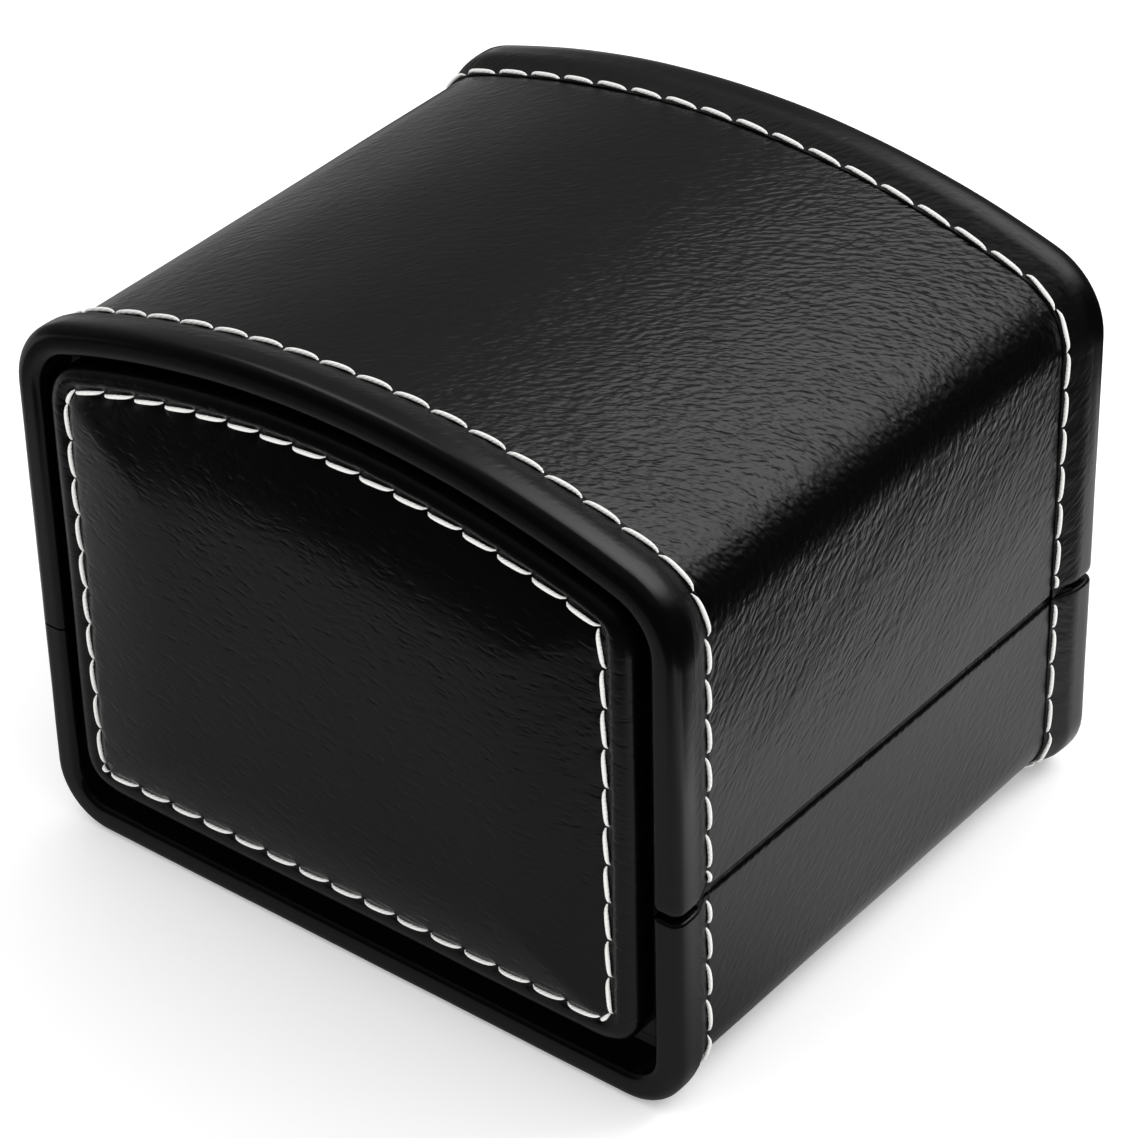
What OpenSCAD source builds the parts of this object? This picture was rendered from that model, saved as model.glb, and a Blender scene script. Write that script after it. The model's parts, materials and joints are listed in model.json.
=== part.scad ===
// Watch display box: arched leather case, hinged lid with apron-like end panels,
// rolled rims split at the seam, lined tray and a cushion for the watch.
// Millimetres. X runs between the two end panels, the lid opens at -Y, +Z is up.

/* [Case] */
// Centre of the case to the leather of its front and back
half_depth = 50.9; // [47:0.1:55]
// Height of the leather at the crown of the arch, over the table
arch_top = 85.4; // [80:0.1:92]
// Radius of the arched top, on the leather
arch_radius = 142; // [120:1:180]
// Radius where the arch turns into the front and back
shoulder_radius = 9.8; // [8:0.1:12]
// Radius of the two bottom edges
bottom_radius = 7; // [6:0.1:8]
// Height of the seam between lid and base
seam_height = 31.6; // [28:0.1:36]
// Gap left in the seam when the lid is shut
seam_gap = 0.3; // [0.2:0.05:0.4]
// Centre of the case to the end of the wrapped boards
board_end = 39.4; // [36:0.1:44]
// Thickness of the leather
leather = 0.8; // [0.6:0.1:1]
// Thickness of the wrapped boards
board = 3.2; // [2.8:0.1:3.6]
// Thickness of the four end walls
end_wall = 3; // [2.4:0.1:3.4]
// Thickness of the velvet lining
lining = 0.8; // [0.5:0.1:1]
// Rounding of the leather where it turns in at the seam
seam_round = 0.6; // [0.3:0.1:0.7]

/* [Rims] */
// How far a rim stands proud of the leather, which is also what the box stands on
rim_proud = 1.6; // [1.2:0.1:2]
// How far a rim reaches inside the leather
rim_inside = 2.6; // [2.2:0.1:2.8]
// How far a rim reaches past the wrapped boards
rim_reach = 6.2; // [5.4:0.1:7]
// Width of the stitched flange on the leather
flange_width = 2; // [1.6:0.1:2.4]
// Thickness of the flange at its stitched edge
flange_thickness = 0.5; // [0.4:0.1:0.7]
// Width of the flat crest
crest_flat = 1.2; // [1:0.1:1.6]
// Outer rounding of a rim
outer_round = 2.2; // [1.8:0.1:2.2]
// Rounding of a rim beside the end panel
inner_round = 1.2; // [0.8:0.1:1.2]
// Rounding of the rim ends at the front of the seam
end_round = 1.6; // [1:0.1:1.8]

/* [End panels] */
// Leather of the front to the edge of the end panel
panel_side_inset = 4.7; // [4.6:0.1:6]
// Crown of the case to the top of the end panel
panel_top_inset = 3.8; // [3.6:0.1:6]
// Bottom of the case to the lower edge of the end panel
panel_bottom_inset = 6.6; // [6.4:0.1:9]
// Radius of the panel's upper corners
panel_upper_radius = 7; // [6:0.1:8]
// Radius of the panel's lower corners, which swing past the rims of the base
panel_lower_radius = 5.5; // [5.5:0.1:7]
// Thickness of the panel's board
panel_board = 2.6; // [2:0.1:3]
// Board to the seam sewn round the pad
pad_height = 4.3; // [3.6:0.1:4.6]
// How much the middle of the pad stands over its stitches
pad_crown = 0.8; // [0.3:0.1:1.4]
// Edge of the panel to the stitches, beside and below
stitch_margin = 3.5; // [3:0.1:4.5]
// Edge of the panel to the stitches, at the top
stitch_margin_top = 2.7; // [2.4:0.1:4]
// Gap between the moving end panels and the end walls of the base
swing_gap = 0.4; // [0.3:0.05:0.6]

/* [Thread] */
// Width of the sewing thread
thread_width = 0.6; // [0.4:0.05:0.7]
// How far the thread stands out of the leather
thread_height = 0.35; // [0.2:0.05:0.45]
// Edge of the flange to the stitches
flange_stitch = 0.6; // [0.5:0.05:0.8]

/* [Hinges] */
// Centre of the case to the middle of each hinge, sideways
hinge_offset = 18; // [14:0.5:24]
// Width of a hinge leaf
leaf_width = 18; // [15:0.5:22]
// Height of a hinge leaf from the hinge line
leaf_height = 9; // [8:0.5:12]
// Thickness of a hinge leaf
leaf_thickness = 0.8; // [0.7:0.05:0.9]
// Radius of the hinge barrel
barrel_radius = 1.3; // [1.2:0.05:1.3]
// Radius of the hinge pin
pin_radius = 0.6; // [0.5:0.05:0.7]
// Radial running clearance of the pin in the lid's knuckle
pin_clearance = 0.05; // [0.02:0.01:0.1]
// Width of the lid's knuckle
middle_knuckle = 7.4; // [6:0.1:9]
// Gap beside the lid's knuckle, and between a leaf and the other leaf's knuckles
knuckle_gap = 0.3; // [0.2:0.05:0.4]
// Radius of the hinge screws
screw_radius = 0.75; // [0.6:0.05:0.8]
// Radius of the countersunk screw heads
screw_head = 1.45; // [1.2:0.05:1.5]
// Length of the hinge screws
screw_length = 3.6; // [3:0.1:4]

/* [Catch] */
// Length of each magnet and keeper plate
magnet_length = 12; // [8:0.5:16]
// Thickness of each magnet and keeper plate
magnet_thickness = 2; // [1.5:0.1:2.2]
// Depth of each magnet in the edge of the board
magnet_depth = 4; // [3:0.1:6]
// Depth of each keeper plate
keeper_depth = 2; // [1.5:0.1:3]
// Centre of the case to each magnet
magnet_offset = 20; // [12:0.5:24]

/* [Cushion] */
// Half length of the cushion, towards the end panels
cushion_half_x = 33; // [28:0.5:34]
// Half width of the cushion, front to back
cushion_half_y = 27; // [22:0.5:32]
// Height of the cushion
cushion_height = 43; // [34:0.5:48]
// Rounding of the cushion
cushion_round = 12; // [9:0.5:14]
// How much each side of the cushion bulges
cushion_bulge = 3; // [1.5:0.1:4]

/* [Hidden] */
$fn = 96;

case_bottom = rim_proud;
wall = leather + board;
rim_face = board_end + rim_reach;
hinge_y = half_depth + rim_proud;
barrel_y = half_depth + rim_proud + barrel_radius;
centre_y = (barrel_y - hinge_y) / 2;
base_wall_face = board_end - 0.1;
panel_back = base_wall_face + swing_gap;
base_top = seam_height - seam_gap / 2;
lid_bottom = seam_height + seam_gap / 2;
panel_half = half_depth - panel_side_inset;
panel_bottom = case_bottom + panel_bottom_inset;
panel_top = arch_top - panel_top_inset;
panel_arch = arch_radius - panel_side_inset / 2;
sewn_half = panel_half - stitch_margin;
sewn_bottom = panel_bottom + stitch_margin;
sewn_top = panel_top - stitch_margin_top;
sewn_arch = panel_arch - stitch_margin_top;
pad_back = panel_back + panel_board;
sewn_x = pad_back + pad_height;
stitch_x = board_end - flange_width + flange_stitch;
flange_slope = (rim_proud - flange_thickness) / (rim_reach + flange_width - outer_round - crest_flat);
thread_rise = flange_thickness + flange_slope * (flange_stitch + thread_width / 2);
side_knuckle = (leaf_width - middle_knuckle) / 2 - knuckle_gap;
screw_spread = leaf_width * 0.31;
screw_rise = leaf_height * 0.62;
screw_slot = screw_head * 0.28;
floor_z = case_bottom + wall + lining;
big = 200;
tuck = 0.01;
black_leather = [0.06, 0.06, 0.065];
rim_leather = [0.04, 0.04, 0.045];
grey_board = [0.35, 0.33, 0.3];
velvet = [0.10, 0.10, 0.11];
white_thread = [0.93, 0.93, 0.9];
brass_plate = [0.78, 0.66, 0.4];
steel = [0.6, 0.6, 0.62];

// ---- outlines, drawn in the plane across X: first axis front to back, second axis up

// Height of the centres of the two upper corners of an arched outline
function corner_z(half, top, arch, upper) =
  top - arch + sqrt(pow(arch - upper, 2) - pow(half - upper, 2));

// Arched outline with four rounded corners, made of cells that share straight edges
module arched(half, bottom, top, arch, upper, lower) {
  cz = corner_z(half, top, arch, upper);
  zc = top - arch;
  k = (arch + 8) / (arch - upper);
  y = half - upper;
  intersection() {
    translate([0, zc]) circle(arch);
    polygon([[-y, cz], [y, cz], [y * k, zc + (cz - zc) * k], [-y * k, zc + (cz - zc) * k]]);
  }
  for (s = [-1, 1]) {
    intersection() {
      translate([s * y, cz]) circle(upper);
      polygon([
        [s * y, cz], [s * (half + 2), cz], [s * (half + 2), zc + (cz - zc) * k + 9],
        [s * y * k, zc + (cz - zc) * k]
      ]);
    }
    intersection() {
      translate([s * (half - lower), bottom + lower]) circle(lower);
      translate([s < 0 ? -half - 1 : half - lower, bottom - 1]) square([lower + 1, lower + 1]);
    }
  }
  translate([-half, bottom + lower]) square([2 * half, cz - bottom - lower]);
  translate([lower - half, bottom]) square([2 * (half - lower), lower]);
}

// The case's outline, d inside its leather
module case_outline(d) {
  arched(half_depth - d, case_bottom + d, arch_top - d, arch_radius - d,
    shoulder_radius - d, bottom_radius - d);
}

// The end panel's outline, d inside its edge
module panel_outline(d) {
  arched(panel_half - d, panel_bottom + d, panel_top - d, panel_arch - d,
    panel_upper_radius - d, panel_lower_radius - d);
}

// The sewn line on the end panel, d inside it
module sewn_outline(d) {
  arched(sewn_half - d, sewn_bottom + d, sewn_top - d, sewn_arch - d, 5 - d, 1.8 - d);
}

// Draws a flat outline as a solid from x0 to x1
module across(x0, x1) {
  translate([x0, 0, 0]) rotate([90, 0, 90]) linear_extrude(x1 - x0) children();
}

// Everything under the seam, and everything over it
module under_seam() {
  intersection() {
    children();
    translate([-big / 2, -big / 2, base_top - big]) cube([big, big, big]);
  }
}

module over_seam() {
  intersection() {
    children();
    translate([-big / 2, -big / 2, lid_bottom]) cube([big, big, big]);
  }
}

// A rounding cutter for an edge along X: quarter bar minus its round, towards sy and sz
module edge_cut(y, z, r, sy, sz, x0, x1) {
  difference() {
    translate([x0, sy > 0 ? y - 1 : y - r, sz > 0 ? z - 1 : z - r]) cube([x1 - x0, r + 1, r + 1]);
    translate([x0 - 1, y + sy * r, z + sz * r]) rotate([0, 90, 0]) cylinder(r = r, h = x1 - x0 + 2);
  }
}

// ---- rims: one section swept round the case's outline

// Leather rolled over its core: first axis out of the leather, second axis along X.
// A section drawn e smaller reaches into its neighbour instead of only touching it.
module rim_section(e) {
  ov = rim_face - outer_round;
  ou = rim_proud - outer_round;
  iv = rim_face - inner_round;
  iu = inner_round - rim_inside;
  polygon([
    [e, board_end - flange_width + e], [flange_thickness - e, board_end - flange_width + e],
    [rim_proud - e, ov - crest_flat], [rim_proud - e, ov], [ou, ov], [ou, rim_face - e],
    [iu, rim_face - e], [iu, iv], [e - rim_inside, iv], [e - rim_inside, board_end + e],
    [e, board_end + e]
  ]);
  intersection() {
    translate([ou, ov]) circle(outer_round - e);
    translate([ou, ov]) square([outer_round + 1, outer_round + 1]);
  }
  intersection() {
    translate([iu, iv]) circle(inner_round - e);
    translate([iu - inner_round - 1, iv]) square([inner_round + 1, inner_round + 1]);
  }
}

// The section turned round a corner, from angle a0 to a1
module swept_corner(y, z, r, a0, a1, e = 0) {
  translate([y, z, 0]) rotate([0, 0, a0]) rotate_extrude(angle = a1 - a0)
    translate([r, 0]) rim_section(e);
}

// The section drawn along a straight side that faces the direction a
module swept_side(y, z, a, run, e = 0) {
  translate([y, z, 0]) rotate([0, 0, a]) rotate([90, 0, 0]) linear_extrude(run) rim_section(e);
}

module base_rim_sweep() {
  rotate([90, 0, 90]) {
    swept_side(half_depth, base_top, 0, base_top - case_bottom - bottom_radius);
    swept_side(-half_depth, case_bottom + bottom_radius, 180,
      base_top - case_bottom - bottom_radius);
    swept_side(half_depth - bottom_radius, case_bottom, -90, 2 * (half_depth - bottom_radius));
    swept_corner(half_depth - bottom_radius, case_bottom + bottom_radius, bottom_radius, -90, 0);
    swept_corner(bottom_radius - half_depth, case_bottom + bottom_radius, bottom_radius, 180, 270);
  }
}

module lid_rim_sweep() {
  cz = corner_z(half_depth, arch_top, arch_radius, shoulder_radius);
  y = half_depth - shoulder_radius;
  turn = atan2(cz - arch_top + arch_radius, y);
  for (m = [0, 1]) mirror([0, m, 0]) rotate([90, 0, 90]) {
    swept_side(half_depth, cz, 0, cz - lid_bottom, tuck);
    swept_corner(y, cz, shoulder_radius, 0, turn + 1, tuck);
  }
  rotate([90, 0, 90])
    swept_corner(0, arch_top - arch_radius, arch_radius, turn, 180 - turn);
}

// Rounds the front end of a rim at height z; sz is 1 over the seam and -1 under it
module rim_end_cut(z, sz) {
  edge_cut(-half_depth - rim_proud, z, end_round, 1, sz, board_end - 6, rim_face + 1);
  edge_cut(rim_inside - half_depth, z, end_round, -1, sz, board_end + 0.5, rim_face + 1);
  intersection() {
    difference() {
      translate([rim_face - end_round, -half_depth - 4, sz > 0 ? z - 1 : z - end_round])
        cube([end_round + 1, 10, end_round + 1]);
      translate([rim_face - end_round, -half_depth - 5, z + sz * end_round])
        rotate([-90, 0, 0]) cylinder(r = end_round, h = 12);
    }
    translate([0, -big, 0]) cube([big, big, big]);
  }
}

module base_rim_right_side() {
  difference() {
    base_rim_sweep();
    rim_end_cut(base_top, -1);
  }
}

module lid_rim_right_side() {
  difference() {
    lid_rim_sweep();
    rim_end_cut(lid_bottom, 1);
  }
}

// Thread sewn along the flange, as one cord standing on it
module flange_thread() {
  across(stitch_x - thread_width / 2, stitch_x + thread_width / 2) difference() {
    case_outline(-thread_rise - thread_height);
    case_outline(-thread_rise - 0.02);
  }
}

// ---- hinges

// Two screws of one leaf: dir is 1 for the lid's leaf and -1 for the base's
module screw_places(dir) {
  for (s = [-1, 1])
    translate([s * screw_spread, half_depth + leaf_thickness, seam_height + dir * screw_rise])
      rotate([90, 0, 0]) children();
}

module screw_body(extra) {
  cylinder(r = screw_radius + extra, h = screw_length);
  translate([0, 0, -extra])
    cylinder(r1 = screw_head + extra, r2 = screw_radius + extra, h = screw_head - screw_radius);
}

module screw() {
  difference() {
    screw_body(0);
    translate([-screw_head, -screw_slot / 2, -0.1])
      cube([2 * screw_head, screw_slot, screw_slot]);
  }
}

module knuckle(x0, x1, bore) {
  translate([x0, hinge_y, seam_height]) rotate([0, 90, 0]) difference() {
    cylinder(r = barrel_radius, h = x1 - x0);
    translate([0, 0, -1]) cylinder(r = bore, h = x1 - x0 + 2);
  }
}

// The strip of leaf that joins a knuckle to its plate, kept out of the bore
module leaf_web(x0, x1, dir, bore) {
  difference() {
    translate([x0, half_depth, seam_height + (dir > 0 ? 0.35 : -barrel_radius - knuckle_gap - 0.5)])
      cube([x1 - x0, leaf_thickness, barrel_radius + knuckle_gap + 0.15]);
    translate([x0 - 1, hinge_y, seam_height]) rotate([0, 90, 0]) cylinder(r = bore + 0.1, h = x1 - x0 + 2);
  }
}

module leaf_plate(dir) {
  low = barrel_radius + knuckle_gap;
  difference() {
    translate([-leaf_width / 2, half_depth, seam_height + (dir > 0 ? low : -leaf_height)])
      cube([leaf_width, leaf_thickness, leaf_height - low]);
    screw_places(dir) screw_body(0.05);
  }
}

module base_leaf() {
  a = leaf_width / 2;
  leaf_plate(-1);
  for (x = [-a, a - side_knuckle]) {
    leaf_web(x, x + side_knuckle, -1, pin_radius);
    knuckle(x, x + side_knuckle, pin_radius);
  }
}

module lid_leaf() {
  b = middle_knuckle / 2;
  leaf_plate(1);
  leaf_web(-b, b, 1, pin_radius + pin_clearance);
  knuckle(-b, b, pin_radius + pin_clearance);
}

module pin() {
  translate([-leaf_width / 2, hinge_y, seam_height]) rotate([0, 90, 0])
    cylinder(r = pin_radius, h = leaf_width);
}

module at_hinges() {
  for (s = [-1, 1]) translate([s * hinge_offset, 0, 0]) children();
}

module screw_holes(dir) {
  at_hinges() screw_places(dir) cylinder(r = screw_radius, h = screw_length);
}

// ---- catch

module catch_bars(z0, z1, grow) {
  for (s = [-1, 1])
    translate([
      s * magnet_offset - magnet_length / 2 - grow,
      -half_depth + leather + (board - magnet_thickness) / 2 - grow, z0
    ]) cube([magnet_length + 2 * grow, magnet_thickness + 2 * grow, z1 - z0]);
}

// ---- panels

module arch_slice(half, bottom, top, arch, upper, lower, x0, x1) {
  cz = corner_z(half, top, arch, upper);
  t = atan2(cz - top + arch, half - upper);
  zb = bottom + lower;
  yb = half - lower;
  yu = half - upper;
  step = (180 - 2 * t) / 12;
  across(x0, x1) polygon(concat(
    [for (i = [0:4]) [yb + lower * cos(i * 22.5 - 90), zb + lower * sin(i * 22.5 - 90)]],
    [for (i = [0:4]) [yu + upper * cos(i * t / 4), cz + upper * sin(i * t / 4)]],
    [for (i = [1:11]) [arch * cos(t + i * step), top - arch + arch * sin(t + i * step)]],
    [for (i = [4:-1:0]) [-yu - upper * cos(i * t / 4), cz + upper * sin(i * t / 4)]],
    [for (i = [4:-1:0]) [-yb - lower * cos(i * 22.5 - 90), zb + lower * sin(i * 22.5 - 90)]]
  ));
}

// Padded leather: upright edge, rounded shoulder up to the sewn line, slightly crowned middle
module pad_right() {
  hull() {
    for (s = [[0, 0, 0.44], [0.5, 0.44, 0.66], [1.6, 0.66, 0.87]])
      arch_slice(panel_half - s[0], panel_bottom + s[0], panel_top - s[0], panel_arch - s[0],
        panel_upper_radius - s[0] / 2, panel_lower_radius - s[0] / 2,
        pad_back + (s[0] == 0 ? 0 : pad_height * s[2] - 0.05), pad_back + pad_height * s[2]);
    arch_slice(sewn_half, sewn_bottom, sewn_top, sewn_arch, 5, 1.8, sewn_x - 0.05, sewn_x);
    arch_slice(sewn_half - 10, sewn_bottom + 10, sewn_top - 9, sewn_arch, 8, 8,
      sewn_x, sewn_x + pad_crown * 0.62);
    arch_slice(sewn_half - 21, sewn_bottom + 19, sewn_top - 18, sewn_arch, 12, 12,
      sewn_x, sewn_x + pad_crown);
  }
}

module end_thread() {
  across(sewn_x + 0.05, sewn_x + 0.05 + thread_height) difference() {
    sewn_outline(0.05);
    sewn_outline(0.05 + thread_width);
  }
}

// Shifts the case so that its bounding box, hinge barrels included, stands over the origin
module placed() {
  translate([0, -centre_y, 0]) children();
}

// ---- base

module base_shell() {
  color(grey_board) placed() difference() {
    under_seam() across(-board_end, board_end) difference() {
      case_outline(leather);
      case_outline(wall);
    }
    catch_bars(base_top - magnet_depth, base_top + 1, 0);
    screw_holes(-1);
  }
}

module base_cover() {
  color(black_leather) placed() difference() {
    under_seam() across(-board_end, board_end) difference() {
      case_outline(0);
      case_outline(leather);
    }
    edge_cut(-half_depth, base_top, seam_round, 1, -1, -board_end - 1, board_end + 1);
    screw_holes(-1);
  }
}

module base_end_wall_right() {
  color(grey_board) placed() under_seam() across(base_wall_face - end_wall, base_wall_face)
    case_outline(wall);
}

module base_end_wall_left() {
  mirror([1, 0, 0]) base_end_wall_right();
}

module base_lining() {
  x = base_wall_face - end_wall;
  color(velvet) placed() under_seam() difference() {
    across(-x, x) case_outline(wall);
    across(lining - x, x - lining) case_outline(wall + lining);
  }
}

module base_rim_right() {
  color(rim_leather) placed() base_rim_right_side();
}

module base_rim_left() {
  mirror([1, 0, 0]) base_rim_right();
}

module base_stitching_right() {
  color(white_thread) placed() difference() {
    under_seam() flange_thread();
    edge_cut(-half_depth - rim_proud, base_top, end_round, 1, -1, stitch_x - rim_reach, rim_face);
  }
}

module base_stitching_left() {
  mirror([1, 0, 0]) base_stitching_right();
}

module base_hinge_leaf_right() {
  color(brass_plate) placed() translate([hinge_offset, 0, 0]) base_leaf();
}

module base_hinge_leaf_left() {
  mirror([1, 0, 0]) base_hinge_leaf_right();
}

module hinge_pin_right() {
  color(steel) placed() translate([hinge_offset, 0, 0]) pin();
}

module hinge_pin_left() {
  mirror([1, 0, 0]) hinge_pin_right();
}

module base_hinge_screws() {
  color(brass_plate) placed() at_hinges() screw_places(-1) screw();
}

module closing_magnets() {
  color(steel) placed() catch_bars(base_top - magnet_depth, base_top, 0);
}

module watch_cushion() {
  cx = cushion_half_x - cushion_bulge - cushion_round;
  cy = cushion_half_y - cushion_bulge - cushion_round;
  lo = floor_z + cushion_bulge / 2 + cushion_round;
  hi = floor_z + cushion_height - cushion_bulge - cushion_round;
  mid = floor_z + cushion_height / 2;
  color(velvet) placed() hull() {
    for (x = [-cx, cx], y = [-cy, cy], z = [lo, hi]) translate([x, y, z]) sphere(cushion_round, $fn = 24);
    translate([0, 0, floor_z]) cylinder(r = 15, h = 1, $fn = 24);
    translate([0, 0, floor_z + cushion_height - 1]) cylinder(r = 11, h = 1, $fn = 24);
    translate([-cushion_half_x, 0, mid]) rotate([0, 90, 0]) cylinder(r = 8, h = 2 * cushion_half_x, $fn = 24);
    translate([0, cushion_half_y, mid]) rotate([90, 0, 0]) cylinder(r = 8, h = 2 * cushion_half_y, $fn = 24);
  }
}

// ---- lid

module lid_shell() {
  color(grey_board) placed() difference() {
    over_seam() across(-board_end, board_end) difference() {
      case_outline(leather);
      case_outline(wall);
    }
    catch_bars(lid_bottom - 1, lid_bottom + keeper_depth, 0);
    screw_holes(1);
  }
}

module lid_cover() {
  color(black_leather) placed() difference() {
    over_seam() across(-board_end, board_end) difference() {
      case_outline(0);
      case_outline(leather);
    }
    edge_cut(-half_depth, lid_bottom, seam_round, 1, 1, -board_end - 1, board_end + 1);
    screw_holes(1);
  }
}

module lid_end_wall_right() {
  color(grey_board) placed() over_seam() across(panel_back - end_wall, panel_back)
    case_outline(wall);
}

module lid_end_wall_left() {
  mirror([1, 0, 0]) lid_end_wall_right();
}

module lid_lining() {
  x = panel_back - end_wall;
  color(velvet) placed() over_seam() difference() {
    across(-x, x) case_outline(wall);
    across(lining - x, x - lining) case_outline(wall + lining);
  }
}

module lid_rim_right() {
  color(rim_leather) placed() lid_rim_right_side();
}

module lid_rim_left() {
  mirror([1, 0, 0]) lid_rim_right();
}

module lid_stitching_right() {
  color(white_thread) placed() difference() {
    over_seam() flange_thread();
    edge_cut(-half_depth - rim_proud, lid_bottom, end_round, 1, 1, stitch_x - rim_reach, rim_face);
  }
}

module lid_stitching_left() {
  mirror([1, 0, 0]) lid_stitching_right();
}

module end_board_right() {
  color(grey_board) placed() across(panel_back, pad_back) panel_outline(0);
}

module end_board_left() {
  mirror([1, 0, 0]) end_board_right();
}

module end_pad_right() {
  color(black_leather) placed() pad_right();
}

module end_pad_left() {
  mirror([1, 0, 0]) end_pad_right();
}

module end_stitching_right() {
  color(white_thread) placed() end_thread();
}

module end_stitching_left() {
  mirror([1, 0, 0]) end_stitching_right();
}

module lid_hinge_leaf_right() {
  color(brass_plate) placed() translate([hinge_offset, 0, 0]) lid_leaf();
}

module lid_hinge_leaf_left() {
  mirror([1, 0, 0]) lid_hinge_leaf_right();
}

module lid_hinge_screws() {
  color(brass_plate) placed() at_hinges() screw_places(1) screw();
}

module keeper_plates() {
  color(steel) placed() catch_bars(lid_bottom, lid_bottom + keeper_depth, 0);
}

base_shell();
base_cover();
base_end_wall_left();
base_end_wall_right();
base_lining();
base_rim_left();
base_rim_right();
base_stitching_left();
base_stitching_right();
base_hinge_leaf_left();
base_hinge_leaf_right();
hinge_pin_left();
hinge_pin_right();
base_hinge_screws();
closing_magnets();
watch_cushion();
lid_shell();
lid_cover();
lid_end_wall_left();
lid_end_wall_right();
lid_lining();
lid_rim_left();
lid_rim_right();
lid_stitching_left();
lid_stitching_right();
end_board_left();
end_board_right();
end_pad_left();
end_pad_right();
end_stitching_left();
end_stitching_right();
lid_hinge_leaf_left();
lid_hinge_leaf_right();
lid_hinge_screws();
keeper_plates();
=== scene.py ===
# %% [markdown]
# # A leather display box for a watch
# The box is an arched case covered in black grained leather. A rolled rim runs round each end,
# a padded panel sits inside each rim, and white stitches hold the edges down. We keep the hard
# parts as they come from the solid model, and build here only what cloth, leather and thread do.

# %% Load the solid model
import json
import math

import bpy
import bmesh
import numpy as np
from mathutils import Matrix, Vector


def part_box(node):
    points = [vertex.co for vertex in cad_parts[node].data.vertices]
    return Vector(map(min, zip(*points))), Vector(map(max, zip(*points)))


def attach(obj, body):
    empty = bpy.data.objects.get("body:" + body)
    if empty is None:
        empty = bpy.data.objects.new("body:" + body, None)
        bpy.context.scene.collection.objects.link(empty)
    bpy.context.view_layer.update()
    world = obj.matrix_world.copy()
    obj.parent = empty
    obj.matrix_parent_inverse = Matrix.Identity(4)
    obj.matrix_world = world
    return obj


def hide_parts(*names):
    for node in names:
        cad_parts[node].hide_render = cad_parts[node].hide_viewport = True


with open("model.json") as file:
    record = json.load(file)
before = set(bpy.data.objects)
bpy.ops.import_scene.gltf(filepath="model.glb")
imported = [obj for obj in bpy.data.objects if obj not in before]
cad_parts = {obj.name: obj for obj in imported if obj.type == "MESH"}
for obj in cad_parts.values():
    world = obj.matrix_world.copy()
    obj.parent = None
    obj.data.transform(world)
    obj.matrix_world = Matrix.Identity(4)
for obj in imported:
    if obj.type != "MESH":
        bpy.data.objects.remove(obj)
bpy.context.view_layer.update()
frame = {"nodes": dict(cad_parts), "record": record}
MM = 0.001

# %% [markdown]
# ## The sizes
# These repeat the named sizes of the solid model, in millimetres, so that soft skins made here
# lie on the solids. They could be read back from the meshes, but then a reader would not see
# them. `SHIFT` is how far the case stands forward of the middle of its footprint, because the
# hinge barrels stick out behind.

# %% Sizes of the case
# the outline of the boards: half depth, height of the arch, and the radii
HALF, TOP, ARCH, SHOULDER, CORNER = 50.9, 85.4, 142.0, 9.8, 7.0
# how far a rim stands proud of the wrap and dips inside it, its outer face, and the boards' end
PROUD, INSIDE, FACE, BOARD_END = 1.6, 2.6, 45.6, 39.4
# the wrap's thickness, and the seam's height and gap
LEATHER, SEAM, GAP, SHIFT = 0.78, 31.6, 0.3, 0.65
LID_LOW, BASE_HIGH = SEAM + GAP / 2, SEAM - GAP / 2
# a pad: where its back lies, its height at the edge and inside the sewn line, and its swelling
PAD_BACK, PAD_EDGE, PAD_RISE, PUFF = 42.3, 2.15, 4.10, 2.25
# the rows of thread on the flanges and the pads, the distance of two holes, the thread's width
STITCH_X, SEWN_X, PITCH, THREAD = 38.0, 46.6, 5.72, 0.58
# the first holes of lid and base, the run left behind the last one, and the stitches' slant
FIRST_LID, FIRST_BASE, LAST_HOLE, SLANT = 3.3, 5.0, 1.0, 0.08
print("case %.0f x %.0f x %.0f mm" % (2 * (PAD_BACK + PAD_RISE + PUFF), 2 * (HALF + PROUD),
                                      TOP + PROUD))

# %% [markdown]
# ## One outline for everything
# The arch, its two shoulders, the upright sides and the two bottom corners make one closed
# outline. Each point carries the direction that points out of the leather, so any layer of the
# box, from the lining to the rim, is this outline moved in or out along those directions.


# %% The outline as points with outward directions
def distinct(points):
    """The points without those that repeat the one before."""
    out = []
    for p in points:
        if not out or math.hypot(p[0] - out[-1][0], p[1] - out[-1][1]) > 1e-6:
            out.append(p)
    return out


def outline(half, bottom, top, arch, upper, lower, step=1.0):
    """Closed loop of (y, z, ny, nz), from the middle of the bottom towards the front and up."""
    zc = top - arch
    cz = zc + math.sqrt((arch - upper) ** 2 - (half - upper) ** 2)
    turn = math.atan2(cz - zc, half - upper)
    right = []

    def arc(cy, cz_, r, a0, a1, n):
        for i in range(n + 1):
            a = a0 + (a1 - a0) * i / n
            right.append((cy + r * math.cos(a), cz_ + r * math.sin(a), math.cos(a), math.sin(a)))

    def line(y0, z0, y1, z1, ny, nz):
        n = max(1, round(math.hypot(y1 - y0, z1 - z0) / step))
        for i in range(n + 1):
            right.append((y0 + (y1 - y0) * i / n, z0 + (z1 - z0) * i / n, ny, nz))

    line(0, bottom, half - lower, bottom, 0, -1)
    arc(half - lower, bottom + lower, lower, -math.pi / 2, 0, 10)
    line(half, bottom + lower, half, cz, 1, 0)
    arc(half - upper, cz, upper, 0, turn, 12)
    arc(0, zc, arch, turn, math.pi / 2, max(8, round(arch * (math.pi / 2 - turn) / step)))
    out = distinct([(-y, z, -ny, nz) for y, z, ny, nz in right] + right[::-1])
    if math.hypot(out[0][0] - out[-1][0], out[0][1] - out[-1][1]) < 1e-6:
        out.pop()
    return np.array(out)


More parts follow.
